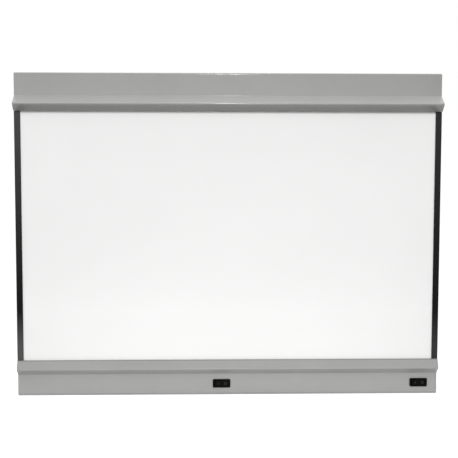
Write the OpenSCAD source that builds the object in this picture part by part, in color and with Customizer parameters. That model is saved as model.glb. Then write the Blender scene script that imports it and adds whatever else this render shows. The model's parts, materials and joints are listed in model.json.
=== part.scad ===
// Wall film viewer for two x-ray films side by side. Millimetres, X to the right, Y into the wall, Z up.
// The origin is the middle of the back face, which lies against the wall.

/* [Body] */
// Width over the covers
viewer_w = 742; // [720:1:780]
// Height from the lower edge to the upper edge
viewer_h = 566; // [556:1:620]
// Depth from the wall to the flat bands of the covers
body_d = 88; // [82:1:110]
// Thickness of the covers' sheet
sheet_t = 1.2; // [0.8:0.1:1.5]
// Outer radius of the covers' corners, seen from the front
corner_r = 2; // [1.8:0.2:6]
// Outer radius of the long outer bends
bend_r = 3.5; // [2:0.5:5]
// Radius of the inward folds between band and slope
fold_r = 2; // [1:0.5:3]
// Outer radius of the crests
crest_r = 2.6; // [2:0.1:3.5]

/* [Top cover] */
// Height of the flat band
top_band_h = 40; // [36:1:60]
// Height of the slope out from the band to the crest
top_slope_h = 13; // [12:1:18]
// Height of the slope back in to the film slot
top_return_h = 13; // [12:1:16]
// How far the crest stands ahead of the band
top_crest_out = 26; // [23:1:28]
// How far the edge of the film slot stands ahead of the band
mouth_out = 9; // [8.6:0.1:10]
// Length of a vent slot
vent_len = 30; // [16:1:36]
// Width of a vent slot
vent_w = 3; // [2:0.5:4]
// Distance between vent slots
vent_pitch = 9; // [7:1:11]
// Number of vent slots above and below each lamp pair
vent_count = 10; // [4:1:12]

/* [Bottom cover] */
// Height of the flat band that holds the switches
bottom_band_h = 38; // [34:1:50]
// Height of the slope in from the crest to the band
lip_return_h = 11; // [9:1:14]
// Height of the slope out from the film ledge to the crest
lip_slope_h = 15; // [13:1:18]
// How far the crest stands ahead of the band
lip_crest_out = 16; // [13:1:18]
// How far the front edge of the film ledge stands ahead of the band
ledge_out = 6; // [5:0.5:7]
// Depth of the shelf under the screen
shelf_d = 8; // [6:0.5:10]

/* [Screen] */
// Thickness of the opal screen
screen_t = 3; // [2:0.5:3.5]
// How far the screen's front stands ahead of the bands
screen_out = 3; // [2.8:0.1:3.4]
// How far the screen runs up behind the top cover
screen_up = 20; // [18:1:22]
// How far the screen runs down below the film ledge
screen_down = 6; // [5:0.5:8]
// Thickness of the rubber under the screen
cushion_h = 3.5; // [2:0.5:4]

/* [Side panels] */
// Thickness of the side panels
side_t = 2; // [1.6:0.1:2.5]
// Width of the front strip seen beside the screen
side_strip_w = 11; // [9:0.5:14]
// Outer radius of the strip's front edge
side_edge_r = 1.5; // [0.8:0.1:1.6]

/* [Back pan] */
// Depth of the pan's rim
pan_rim_d = 30; // [26:1:34]
// Distance of the keyholes from the side edges
keyhole_side = 51; // [46:1:56]
// Distance of the keyholes from the upper and lower edge
keyhole_end = 33; // [31:1:38]
// Radius of the round part of a keyhole
keyhole_r = 5; // [4:0.5:6]
// Radius of the narrow part of a keyhole
keyhole_neck_r = 2.5; // [2:0.5:3]
// How far the narrow part rises above the round part
keyhole_rise = 10; // [8:0.5:12]

/* [Lamps] */
// Diameter of a lamp
lamp_d = 26; // [24:1:28]
// Room for the wiring between the ballasts and the lampholders
wiring_room = 10; // [8:0.5:14]
// Distance of the lamps' middle from the wall
lamp_in = 38; // [32:1:44]
// Distance between the two lamps of a pair
lamp_pitch = 180; // [150:1:190]
// Length of a lamp cap
cap_len = 9; // [7:0.5:11]
// Glass thickness of a lamp
glass_t = 0.8; // [0.6:0.1:1.2]
// Radius of a lamp pin
pin_r = 1.17; // [1:0.01:1.25]
// Length of a lamp pin
pin_len = 7.1; // [6:0.1:7.5]
// Distance between the two pins of a cap
pin_pitch = 12.7; // [12:0.1:13.2]
// Thickness of a lampholder
holder_t = 11; // [10:0.5:12]
// Radius of a lampholder's head
holder_r = 11; // [10.5:0.5:12]

/* [Reflectors] */
// Thickness of the reflectors and of the divider
reflector_t = 0.8; // [0.6:0.1:1]
// Height of the outer wings above the pan
outer_wing_d = 70; // [50:1:74]
// Height of the inner wings above the pan
inner_wing_d = 58; // [40:1:70]
// Width that an outer wing takes
outer_wing_w = 31; // [28:1:34]
// Width that an inner wing takes
inner_wing_w = 9.3; // [8:0.1:10]
// Half width of the divider's foot
divider_foot = 12; // [9:1:12]

/* [Film grip] */
// Radius of a film roller
roller_r = 4; // [3.4:0.1:4]
// Length of a film roller
roller_len = 50; // [36:1:60]
// Free width beside the rollers of each film
roller_margin = 4; // [2:0.5:10]
// Height of the rollers' middle above the edge of the film slot
roller_rise = 9; // [8.8:0.1:9.2]
// Lean of the ramp from upright, in degrees
ramp_lean = 20; // [18:0.5:22]
// Thickness of the ribs beside each roller
rib_t = 2; // [1:0.5:3]
// Free width between the ribs and the screen
film_gap = 1.5; // [1:0.1:2]

/* [Switches] */
// Middle of the centre switch, from the middle of the viewer
centre_switch_x = -12.5; // [-30:0.5:20]
// Middle of the right switch, from the right edge
right_switch_in = 33; // [31:0.5:45]
// Height of the switches' middle above the lower edge
switch_rise = 20.5; // [18:0.5:22]
// Width of a switch bezel
bezel_w = 31; // [31:0.1:32]
// Height of a switch bezel
bezel_h = 15; // [15:0.1:16]
// Thickness of a switch bezel
bezel_t = 2; // [1.6:0.1:2.4]
// Width of the switch body behind the sheet
switch_w = 28.2; // [28.2:0.1:28.6]
// Height of the switch body behind the sheet
switch_h = 12.6; // [12.6:0.1:13]
// Depth of the switch body behind the sheet
switch_d = 18; // [16:1:22]
// Swing radius of a rocker's ends
rocker_r = 13; // [12:0.1:13]
// Height of a rocker between the bezel's long sides
rocker_h = 10.2; // [9:0.1:10.2]
// Angle of each half of a rocker's face, in degrees
rocker_tilt = 9; // [7:0.5:10]
// Height of the rocker's middle above its pin
rocker_rise = 3.4; // [3:0.1:3.6]
// Depth of the rocker's pin behind the front of the bezel
rocker_pin_in = 3; // [2.6:0.1:3.4]
// Radius of the rocker's pin
rocker_pin_r = 1.2; // [0.9:0.1:1.4]
// Length of a switch tab
tab_len = 8; // [6:0.5:9]

/* [Ballasts] */
// Length of a ballast over its feet
ballast_len = 150; // [130:1:154]
// Height of a ballast
ballast_h = 28; // [24:1:30]
// Depth of a ballast
ballast_d = 22; // [18:1:26]
// Length of each foot of a ballast
ballast_foot = 11; // [10:0.5:12]
// Distance from the lower edge to the ballasts
ballast_up = 3; // [2.5:0.1:3.5]
// How far the ballasts sit from the middle of each lamp pair towards the middle of the viewer
ballast_shift = 30; // [24:1:38]

/* [Terminal block] */
// Width of the terminal block
block_w = 60; // [56:1:64]
// Height of the terminal block
block_h = 20; // [18:1:22]
// Depth of the terminal block
block_d = 16; // [12:1:18]
// Number of poles
pole_count = 5; // [3:1:6]

/* [Mains inlet] */
// Distance of the inlet from the left edge
inlet_in = 71; // [68:1:76]
// Distance of the inlet's middle from the wall
inlet_d = 45; // [42:1:50]
// Width of the inlet body
inlet_w = 27.4; // [27.2:0.1:28]
// Depth of the inlet body
inlet_h = 19.8; // [19.6:0.1:20.4]
// Height of the inlet body
inlet_len = 24; // [23:0.5:26]
// Wall thickness round the socket
inlet_wall = 1.6; // [1.2:0.1:2]
// Depth of the socket
socket_depth = 17; // [15:0.5:17]
// Height of the socket's mouth below the blade tips
blade_in = 4.7; // [4.5:0.1:6]
// Distance between the two screws of the inlet
inlet_screw_pitch = 40; // [39:0.5:41]

/* [Fasteners] */
// Radius of the screws and studs
screw_r = 2; // [1.5:0.1:2.2]
// Radius of a countersunk head
head_r = 3.8; // [3.4:0.1:4.2]
// Height of a countersunk head
head_h = 2.1; // [1.8:0.1:2.3]
// Length of a cover screw or side screw
screw_len = 10; // [8:0.5:12]
// Clearance between a screw and its hole
screw_gap = 0.2; // [0.1:0.05:0.3]
// Height of a nut
nut_h = 3.2; // [2.4:0.1:3.4]
// Radius of a nut over its corners
nut_r = 4.04; // [3.6:0.02:4.2]

/* [Wiring] */
// Radius of a wire bundle
bundle_r = 2; // [1.5:0.1:2]
// Radius of the thin leads to the lampholders
lead_r = 1.2; // [0.8:0.1:1.5]

/* [Hidden] */
$fn = 48;
// Overrun of every cut
over = 1;
// Clearance between moving pieces, and between pieces that only lie close
gap = 0.3;
// Clearance of a pin in its bore
pin_gap = 0.05;
// Steps in each bend
bend_steps = 6;

// Heights of the folds
top_z = viewer_h / 2;
top_band_z = top_z - top_band_h;
top_crest_z = top_band_z - top_slope_h;
mouth_z = top_crest_z - top_return_h;
bottom_z = -viewer_h / 2;
bottom_band_z = bottom_z + bottom_band_h;
lip_crest_z = bottom_band_z + lip_return_h;
ledge_z = lip_crest_z + lip_slope_h;

// Places that several pieces share, as distances from the wall
band_inner_d = body_d - sheet_t;
screen_front_d = body_d + screen_out;
screen_back_d = screen_front_d - screen_t;
strip_front_d = screen_front_d + side_t;
pan_w = viewer_w - 2 * side_t;
pan_h = viewer_h - 2 * sheet_t;
shelf_z = ledge_z - screen_down - cushion_h;
screen_top_z = mouth_z + screen_up;
screen_bottom_z = ledge_z - screen_down;
screen_w = pan_w - 2 * gap;

// Lamps, counted from the left
lamp_mid = (viewer_w / 2 - side_strip_w) / 2;
lamp_xs = [-lamp_mid - lamp_pitch / 2, -lamp_mid + lamp_pitch / 2,
           lamp_mid - lamp_pitch / 2, lamp_mid + lamp_pitch / 2];
holder_foot_t = 3;
holder_foot_len = 12;
lamp_len = viewer_h - 2 * (ballast_up + ballast_h + wiring_room + holder_foot_len + holder_t + gap);
holder_z = lamp_len / 2 + gap;
groove_w = 3;
groove_depth = pin_len + gap;
ballast_x = lamp_mid - ballast_shift;

// Film rollers, counted from the left: four to each film
roller_pitch = (lamp_mid - roller_margin) / 2;
roller_xs = [for (side = [-1, 1], step = [-1.5 : 1 : 1.5]) side * lamp_mid + step * roller_pitch];
roller_mid = [-(screen_front_d + gap + roller_r), mouth_z + roller_rise];
ramp_up = [-sin(ramp_lean), cos(ramp_lean)];
ramp_in = [cos(ramp_lean), sin(ramp_lean)];
roller_chamfer = 0.8;

// Screws, studs and nuts
cover_screw_shares = [-0.43, -0.07, 0.07, 0.43];
side_screw_shares = [-0.27, 0, 0.27];
rail_stud_shares = [-0.45, -0.15, 0.15, 0.45];
rail_stud_len = 9;
reflector_stud_share = 0.3;
reflector_stud_x = lamp_mid - lamp_pitch * reflector_stud_share;
reflector_stud_x2 = lamp_mid + lamp_pitch * reflector_stud_share;
stud_over = 1.4;
block_stud_in = 5;
block_stud_pitch = block_w - 2 * block_stud_in;
block_core_w = block_stud_pitch - 2 * (nut_r + gap);
earth_side = 40;
earth_up = 20;
earth_x = viewer_w / 2 - earth_side;
earth_z = bottom_z + earth_up;

inlet_x = -viewer_w / 2 + inlet_in;
inlet_flange_t = 2.5;
inlet_ear = 5;
blade_t = 2;
blade_w = 4;
blade_pitch = 7;
blade_offset = 2;
blade_tail = 8;
blade_fit = 0.1;

rib_xs = [for (x = roller_xs, side = [-1, 1]) x + side * (roller_len / 2 + 2 * gap + rib_t / 2)];

right_switch_x = viewer_w / 2 - right_switch_in;
switch_z = bottom_z + switch_rise;
switch_gap = 0.3;
rocker_pin_d = body_d + bezel_t - rocker_pin_in;
rocker_pin_over = 0.8;
switch_cavity_d = 9;
tab_t = 0.8;
tab_w = 4.8;
tab_dx = 7;
tab_dz = 3;
wing_out = 1;
wing_len = 7;
wing_h = 6;
knuckle = 1.08;
clip_w = 8;
clip_wall = 1.4;
// Place of the long lamp leads: distance from the wall, and from the viewer's side and top edges
lead_run_d = 10;
lead_run_side = 21;
lead_run_top = 15;
lead_d = 15;

// Geometry helpers. Paths run so that the sheet lies on their right
function unit(v) = v / norm(v);
function right_of(v) = [v.y, -v.x];
function side_of(path, i) = right_of(unit(path[i + 1] - path[i]));
function reversed(list) = [for (i = [len(list) - 1 : -1 : 0]) list[i]];
function arc(centre, from, sweep) =
  [for (i = [0 : bend_steps]) let (t = sweep * i / bend_steps)
    centre + [from.x * cos(t) - from.y * sin(t), from.x * sin(t) + from.y * cos(t)]];
function bend(a, b, c, r) =
  let (u = unit(a - b), v = unit(c - b), half = acos(u * v) / 2,
       centre = b + unit(u + v) * r / sin(half),
       from = b + u * r / tan(half) - centre, to = b + v * r / tan(half) - centre)
  arc(centre, from, atan2(cross(from, to), from * to));
function bent(path, radii) =
  let (last = len(path) - 1)
  concat([path[0]],
         [for (i = [1 : last - 1]) each bend(path[i - 1], path[i], path[i + 1], radii[i - 1])],
         [path[last]]);
function shifted(path, t) =
  let (last = len(path) - 1)
  [for (i = [0 : last])
    let (m = side_of(path, max(i - 1, 0)), n = side_of(path, min(i, last - 1)))
    path[i] + (m + n) * t / (1 + m * n)];
function shifted_radii(path, radii, t) =
  [for (i = [1 : len(path) - 2])
    let (turn = cross(path[i] - path[i - 1], path[i + 1] - path[i]))
    radii[i - 1] + sign(turn) * t];
function inner_face(path, radii, t) = bent(shifted(path, t), shifted_radii(path, radii, t));
function sheet(path, radii, t) = concat(bent(path, radii), reversed(inner_face(path, radii, t)));
function meet(p, d, q, e) = p + d * cross(q - p, e) / cross(d, e);

// Extrudes an outline of depth and height along X, about the middle
module along_x(length) {
  rotate([90, 0, 90]) linear_extrude(length, center = true) children();
}

// Extrudes an outline of width and height from the wall towards the front, between two distances
module from_wall(near, far) {
  translate([0, -near, 0]) rotate([90, 0, 0]) linear_extrude(far - near) children();
}

module rounded_rect(w, h, r) {
  square([w - 2 * r, h], center = true);
  square([w, h - 2 * r], center = true);
  for (x = [-1, 1], y = [-1, 1]) translate([x * (w / 2 - r), y * (h / 2 - r)]) circle(r);
}

// A flat-ended slot outline along Y with round ends
module slot_outline(length, w) {
  square([w, length - w], center = true);
  for (side = [-1, 1]) translate([0, side * (length - w) / 2]) circle(w / 2);
}

// A box between two corners
module block(low, high) {
  translate(low) cube(high - low);
}

// Points a child that stands along +Z towards the front instead
module facing_front() {
  rotate([90, 0, 0]) children();
}

top_path = [[-(body_d + mouth_out), mouth_z], [-(body_d + top_crest_out), top_crest_z],
            [-body_d, top_band_z], [-body_d, top_z], [0, top_z]];
top_radii = [crest_r, fold_r, bend_r];
lip_path = [[0, bottom_z], [-body_d, bottom_z], [-body_d, bottom_band_z],
            [-(body_d + lip_crest_out), lip_crest_z], [-(body_d + ledge_out), ledge_z], [0, ledge_z]];
ledge_r = sheet_t + gap / 2;
lip_radii = [bend_r, fold_r, crest_r, ledge_r];

// The closed box that a cover's sheet and end plates form: the outline of its outer face, hollowed by its
// inner face
module folded_box(path, radii) {
  outer = bent(path, radii);
  inner = inner_face(path, radii, sheet_t);
  first = inner[0];
  last = inner[len(inner) - 1];
  far_d = body_d + top_crest_out + over;
  difference() {
    intersection() {
      along_x(viewer_w) polygon(concat(outer, [[0, path[0].y]]));
      from_wall(-over, far_d) rounded_rect(viewer_w, viewer_h, corner_r);
    }
    intersection() {
      along_x(viewer_w - 2 * sheet_t)
        polygon(concat(inner, [[over, last.y], [over, path[0].y - over], [first.x, path[0].y - over]]));
      from_wall(-2 * over, far_d + over)
        rounded_rect(viewer_w - 2 * sheet_t, viewer_h - 2 * sheet_t, corner_r - sheet_t);
    }
  }
}

module lip_box() {
  inner = inner_face(lip_path, lip_radii, sheet_t);
  far_d = body_d + lip_crest_out + over;
  difference() {
    intersection() {
      along_x(viewer_w) polygon(bent(lip_path, lip_radii));
      from_wall(-over, far_d) rounded_rect(viewer_w, viewer_h, corner_r);
    }
    intersection() {
      along_x(viewer_w - 2 * sheet_t)
        polygon(concat(inner, [[over, ledge_z - sheet_t], [over, bottom_z + sheet_t]]));
      from_wall(-2 * over, far_d + over)
        rounded_rect(viewer_w - 2 * sheet_t, viewer_h - 2 * sheet_t, corner_r - sheet_t);
    }
    block([-viewer_w / 2 + sheet_t, -(screen_front_d + gap), ledge_z - 2 * sheet_t],
          [viewer_w / 2 - sheet_t, over, ledge_z + over]);
  }
}

// A countersunk screw along +Z, with its head's flat face at the origin, and the hole that it needs
module screw() {
  cylinder(h = head_h, r1 = head_r, r2 = screw_r);
  cylinder(h = screw_len, r = screw_r);
}

module screw_hole() {
  cylinder(h = head_h, r1 = head_r + screw_gap, r2 = screw_r + screw_gap);
  translate([0, 0, -over]) cylinder(h = over, r = head_r + screw_gap);
  cylinder(h = screw_len + over, r = screw_r + screw_gap);
}

// Children at each screw of the top cover, of the bottom cover and of the side panels, along +Z inwards
module at_top_screws() {
  for (share = cover_screw_shares)
    translate([share * viewer_w, -pan_rim_d / 2, top_z]) rotate([180, 0, 0]) children();
}

module at_bottom_screws() {
  for (share = cover_screw_shares) translate([share * viewer_w, -pan_rim_d / 2, bottom_z]) children();
}

module at_side_screws(side) {
  for (share = side_screw_shares)
    translate([side * viewer_w / 2, -pan_rim_d / 2, share * viewer_h]) rotate([0, -side * 90, 0]) children();
}

module vents(z) {
  for (side = [-1, 1], i = [0 : vent_count - 1])
    translate([side * lamp_mid + (i - (vent_count - 1) / 2) * vent_pitch, -(body_d + pan_rim_d) / 2, z])
      linear_extrude(2 * over + 2 * sheet_t, center = true) slot_outline(vent_len, vent_w);
}

module at_rail_studs() {
  for (share = rail_stud_shares)
    translate([share * viewer_w, -band_inner_d, top_band_z + top_band_h / 4]) children();
}

module top_cover() color([0.62, 0.62, 0.61]) {
  difference() {
    folded_box(top_path, top_radii);
    at_top_screws() screw_hole();
    vents(top_z);
  }
  at_rail_studs() translate([0, -sheet_t / 2, 0]) rotate([-90, 0, 0])
    cylinder(h = rail_stud_len + sheet_t / 2, r = screw_r);
}

module switch_cutout(x) {
  cut_w = switch_w + 2 * switch_gap;
  cut_h = switch_h + 2 * switch_gap;
  block([x - cut_w / 2, -(body_d + over), switch_z - cut_h / 2],
        [x + cut_w / 2, -(band_inner_d - over), switch_z + cut_h / 2]);
}

module at_inlet() {
  translate([inlet_x, -inlet_d, bottom_z]) children();
}

module at_inlet_screws() {
  for (side = [-1, 1]) translate([side * inlet_screw_pitch / 2, 0, 0]) children();
}

module bottom_cover() color([0.62, 0.62, 0.61]) {
  shelf_path = [[-(screen_front_d + gap), ledge_z - sheet_t / 2], [-(screen_front_d + gap), shelf_z],
                [-(screen_front_d - shelf_d), shelf_z]];
  difference() {
    lip_box();
    at_bottom_screws() screw_hole();
    vents(bottom_z);
    switch_cutout(centre_switch_x);
    switch_cutout(right_switch_x);
    at_inlet() {
      linear_extrude(2 * (over + sheet_t), center = true)
        rounded_rect(inlet_w + 2 * gap, inlet_h + 2 * gap, corner_r);
      at_inlet_screws() screw_hole();
    }
  }
  along_x(viewer_w - 2 * sheet_t) polygon(sheet(shelf_path, [sheet_t / 2], sheet_t));
}

// The side panels' outline of width and depth, for the right side
module side_outline(full) {
  outer_x = viewer_w / 2 - (full ? 0 : sheet_t + gap);
  inner_x = viewer_w / 2 - side_strip_w;
  rib_back_d = screen_back_d - gap - side_t;
  translate([inner_x, -strip_front_d]) square([outer_x - inner_x - side_edge_r, side_t]);
  translate([inner_x, -(rib_back_d + side_t)]) square([outer_x - inner_x - gap, side_t]);
  if (full) {
    translate([outer_x - side_t, -(strip_front_d - side_edge_r)])
      square([side_t, strip_front_d - side_edge_r]);
    intersection() {
      translate([outer_x - side_edge_r, -(strip_front_d - side_edge_r)]) circle(side_edge_r);
      translate([outer_x - side_edge_r, -strip_front_d]) square(side_edge_r);
    }
  } else {
    translate([inner_x, -strip_front_d]) square([outer_x - inner_x, side_t]);
  }
}

module side_panel(side) color([0.07, 0.07, 0.075]) mirror([side < 0 ? 1 : 0, 0, 0]) {
  low_z = ledge_z + gap;
  high_z = mouth_z - gap;
  difference() {
    union() {
      translate([0, 0, low_z]) linear_extrude(high_z - low_z) side_outline(true);
      translate([0, 0, high_z]) linear_extrude(screen_top_z - high_z) side_outline(false);
    }
    at_side_screws(1) screw_hole();
  }
}

module screen() color([0.95, 0.95, 0.95])
  block([-screen_w / 2, -screen_front_d, screen_bottom_z], [screen_w / 2, -screen_back_d, screen_top_z]);

module screen_cushion() color([0.12, 0.12, 0.12]) {
  leg_t = side_t;
  along_x(screen_w) polygon([
    [-(screen_front_d - gap), shelf_z], [-(screen_front_d - shelf_d), shelf_z],
    [-(screen_back_d - gap - leg_t), shelf_z + cushion_h], [-(screen_back_d - gap - leg_t), ledge_z - gap],
    [-(screen_back_d - gap), ledge_z - gap], [-(screen_back_d - gap), screen_bottom_z],
    [-(screen_front_d - gap), screen_bottom_z]]);
}

module keyhole() {
  circle(keyhole_r);
  translate([-keyhole_neck_r, 0]) square([2 * keyhole_neck_r, keyhole_rise]);
  translate([0, keyhole_rise]) circle(keyhole_neck_r);
}

// Children at each reflector stud, lampholder stud, ballast stud, terminal stud and at the earth stud, on
// the pan's inner face. $seat is the thickness that the stud holds down
module at_pan_studs() {
  for (side = [-1, 1], x = [reflector_stud_x, reflector_stud_x2], up = [-1, 1]) {
    $seat = reflector_t;
    translate([side * x, -sheet_t, up * lamp_len * reflector_stud_share]) children();
  }
  for (x = lamp_xs, up = [-1, 1]) {
    $seat = holder_foot_t;
    translate([x, -sheet_t, up * (holder_z + holder_t + holder_foot_len / 2)]) children();
  }
  for (side = [-1, 1], end = [-1, 1]) {
    $seat = sheet_t;
    translate([side * ballast_x + end * (ballast_len - ballast_foot) / 2, -sheet_t,
               bottom_z + ballast_up + ballast_h / 2]) children();
  }
  for (side = [-1, 1]) {
    $seat = holder_foot_t;
    translate([side * block_stud_pitch / 2, -sheet_t, bottom_z + ballast_up + ballast_h / 2]) children();
  }
  $seat = 0;
  translate([earth_x, -sheet_t, earth_z]) children();
}

module back_pan() color([0.72, 0.72, 0.71]) {
  difference() {
    from_wall(0, pan_rim_d) rounded_rect(pan_w, pan_h, corner_r);
    from_wall(sheet_t, pan_rim_d + over) rounded_rect(pan_w - 2 * sheet_t, pan_h - 2 * sheet_t,
                                                      corner_r - sheet_t);
    for (x = [-1, 1], z = [-1, 1])
      translate([x * (viewer_w / 2 - keyhole_side), 0, z * (viewer_h / 2 - keyhole_end)])
        from_wall(-over, sheet_t + over) keyhole();
    at_top_screws() screw_hole();
    at_bottom_screws() screw_hole();
    for (side = [-1, 1]) at_side_screws(side) screw_hole();
  }
  at_pan_studs() translate([0, sheet_t / 2, 0]) facing_front()
    cylinder(h = $seat + nut_h + stud_over + sheet_t / 2, r = screw_r);
}

module nut() {
  difference() {
    cylinder(h = nut_h, r = nut_r, $fn = 6);
    translate([0, 0, -over]) cylinder(h = nut_h + 2 * over, r = screw_r + screw_gap / 2);
  }
}

module pan_nuts() color([0.7, 0.68, 0.6]) at_pan_studs() translate([0, -$seat, 0]) facing_front() nut();

module reflector(side) color([0.9, 0.9, 0.9]) mirror([side < 0 ? 1 : 0, 0, 0]) {
  outer_x = pan_w / 2 - sheet_t - 2 * gap;
  flat_in = divider_foot + gap;
  inner_x = flat_in - inner_wing_w;
  path = [[inner_x, -(sheet_t + inner_wing_d)], [flat_in, -sheet_t],
          [outer_x - outer_wing_w, -sheet_t], [outer_x, -(sheet_t + outer_wing_d)]];
  length = lamp_len - 2 * gap;
  difference() {
    linear_extrude(length, center = true) polygon(sheet(path, [bend_r, bend_r], reflector_t));
    for (x = [reflector_stud_x, reflector_stud_x2], up = [-1, 1])
      translate([x, -sheet_t + over, up * lamp_len * reflector_stud_share]) facing_front()
        cylinder(h = reflector_t + 2 * over, r = screw_r + screw_gap);
  }
}

module centre_divider() color([0.9, 0.9, 0.9]) {
  length = lamp_len - 2 * gap;
  top_d = screen_back_d - gap;
  block([-divider_foot, -(sheet_t + reflector_t), -length / 2], [divider_foot, -sheet_t, length / 2]);
  block([-reflector_t / 2, -top_d, -length / 2], [reflector_t / 2, -sheet_t, length / 2]);
}

module lamp_tube(i) color([0.97, 0.97, 0.97]) translate([lamp_xs[i], -lamp_in, 0]) difference() {
  length = lamp_len - 2 * cap_len;
  cylinder(h = length, r = lamp_d / 2, center = true);
  cylinder(h = length + over, r = lamp_d / 2 - glass_t, center = true);
}

module lamp_caps(i) color([0.8, 0.8, 0.8]) for (up = [0, 1])
  translate([lamp_xs[i], -lamp_in, 0]) mirror([0, 0, up]) translate([0, 0, lamp_len / 2 - cap_len]) {
    edge = cap_len / 6;
    cylinder(h = cap_len - edge, r = lamp_d / 2);
    translate([0, 0, cap_len - edge]) cylinder(h = edge, r1 = lamp_d / 2, r2 = lamp_d / 2 - edge);
  }

module lamp_pins() color([0.8, 0.65, 0.35]) for (x = lamp_xs, up = [0, 1], side = [-1, 1])
  translate([x + side * pin_pitch / 2, -lamp_in, 0]) mirror([0, 0, up])
    translate([0, 0, lamp_len / 2]) cylinder(h = pin_len, r = pin_r);

module lampholder(i, up) color([0.93, 0.93, 0.92]) mirror([0, 0, up ? 0 : 1])
  translate([lamp_xs[i], 0, holder_z]) difference() {
    neck = holder_r - groove_w / 2;
    foot_z = holder_t + holder_foot_len;
    union() {
      translate([0, -lamp_in, 0]) cylinder(h = holder_t, r = holder_r);
      block([-neck, -lamp_in, 0], [neck, -sheet_t, holder_t]);
      block([-neck, -(sheet_t + holder_foot_t), holder_t - over], [neck, -sheet_t, foot_z]);
    }
    translate([0, -lamp_in, -over]) difference() {
      cylinder(h = groove_depth + over, r = (pin_pitch + groove_w) / 2);
      translate([0, 0, -over]) cylinder(h = groove_depth + 3 * over, r = (pin_pitch - groove_w) / 2);
    }
    block([-groove_w / 2, -(lamp_in + holder_r + over), -over], [groove_w / 2, -lamp_in, groove_depth]);
    translate([0, over - sheet_t, holder_t + holder_foot_len / 2]) facing_front()
      cylinder(h = holder_foot_t + 2 * over, r = screw_r + screw_gap);
  }

// Film grip: the rail hangs on the band's studs, follows the cover's slope and ends in the ramp
top_inner = shifted(top_path, sheet_t);
slope_dir = unit(top_path[2] - top_path[1]);
return_dir = unit(top_path[1] - top_path[0]);
ramp_face = roller_mid - ramp_in * (roller_r + gap + sheet_t);
slope_face = top_inner[2] + right_of(slope_dir) * gap;
return_face = top_inner[0] + right_of(return_dir) * gap;
ramp_low = meet(ramp_face, ramp_up, return_face, return_dir);
ramp_high = meet(ramp_face, ramp_up, slope_face, slope_dir);
rail_elbow = meet(slope_face, slope_dir, [-band_inner_d, 0], [0, 1]);
rail_path = [ramp_low, ramp_high, rail_elbow, [-band_inner_d, top_band_z + top_band_h / 2]];

module grip_rail() color([0.75, 0.75, 0.74]) {
  rail_half = viewer_w / 2 - side_strip_w - 2 * gap;
  inward = ramp_in * sheet_t / 2;
  rib_back = -(screen_front_d + film_gap);
  difference() {
    along_x(2 * rail_half) polygon(sheet(rail_path, [crest_r - gap, sheet_t], sheet_t));
    at_rail_studs() translate([0, -over, 0]) rotate([-90, 0, 0])
      cylinder(h = sheet_t + 2 * over, r = screw_r + screw_gap);
  }
  for (x = rib_xs) translate([x, 0, 0]) along_x(rib_t)
    polygon([ramp_low + inward, ramp_high + inward - ramp_up * crest_r,
             [rib_back, ramp_high.y - crest_r], [rib_back, ramp_low.y + gap]]);
}

module rail_nuts() color([0.7, 0.68, 0.6])
  at_rail_studs() translate([0, sheet_t, 0]) rotate([-90, 0, 0]) nut();

module film_roller(i) color([0.3, 0.3, 0.32])
  translate([roller_xs[i], roller_mid.x, roller_mid.y]) rotate([0, 90, 0]) {
    tip_r = roller_r - roller_chamfer;
    body = roller_len - 2 * roller_chamfer;
    cylinder(h = body, r = roller_r, center = true);
    for (end = [0, 1]) mirror([0, 0, end]) translate([0, 0, body / 2])
      cylinder(h = roller_chamfer, r1 = roller_r, r2 = tip_r);
  }

// The rocker lies on its side: its pin is upright
module rocker(x) color([0.05, 0.05, 0.05])
  translate([x, -rocker_pin_d, switch_z]) rotate([0, 0, rocker_tilt]) {
    end_rise = rocker_rise + rocker_r * tan(rocker_tilt);
    linear_extrude(rocker_h, center = true) intersection() {
      circle(rocker_r);
      polygon([[-rocker_r, rocker_rise], [-rocker_r, -end_rise], [0, -rocker_rise], [rocker_r, -end_rise],
               [rocker_r, rocker_rise]]);
    }
    cylinder(h = rocker_h + 2 * rocker_pin_over, r = rocker_pin_r, center = true);
  }

module switch_body(x) color([0.05, 0.05, 0.05]) translate([x, 0, switch_z]) {
  back_d = body_d - switch_d;
  front_d = body_d + bezel_t;
  mouth_w = 2 * (rocker_r + gap);
  mouth_h = rocker_h + 2 * gap;
  difference() {
    union() {
      from_wall(body_d, front_d) rounded_rect(bezel_w, bezel_h, bezel_t);
      block([-switch_w / 2, -body_d, -switch_h / 2], [switch_w / 2, -back_d, switch_h / 2]);
    }
    block([-mouth_w / 2, -(front_d + over), -mouth_h / 2],
          [mouth_w / 2, -(front_d - switch_cavity_d), mouth_h / 2]);
    translate([0, -rocker_pin_d, 0])
      cylinder(h = rocker_h + 2 * (rocker_pin_over + pin_gap), r = rocker_pin_r + pin_gap, center = true);
  }
  wing_front = -(band_inner_d - gap / 2);
  for (side = [0, 1]) mirror([side, 0, 0]) linear_extrude(wing_h, center = true)
    polygon([[switch_w / 2, wing_front], [switch_w / 2 + wing_out, wing_front],
             [switch_w / 2, wing_front + wing_len]]);
}

module switch_tabs() color([0.8, 0.78, 0.72]) for (x = [centre_switch_x, right_switch_x]) {
  back_d = body_d - switch_d;
  for (dx = [-tab_dx, tab_dx], dz = [-tab_dz, tab_dz])
    translate([x + dx, -back_d, switch_z + dz]) translate([-tab_w / 2, 0, -tab_t / 2])
      cube([tab_w, tab_len, tab_t]);
}

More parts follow.
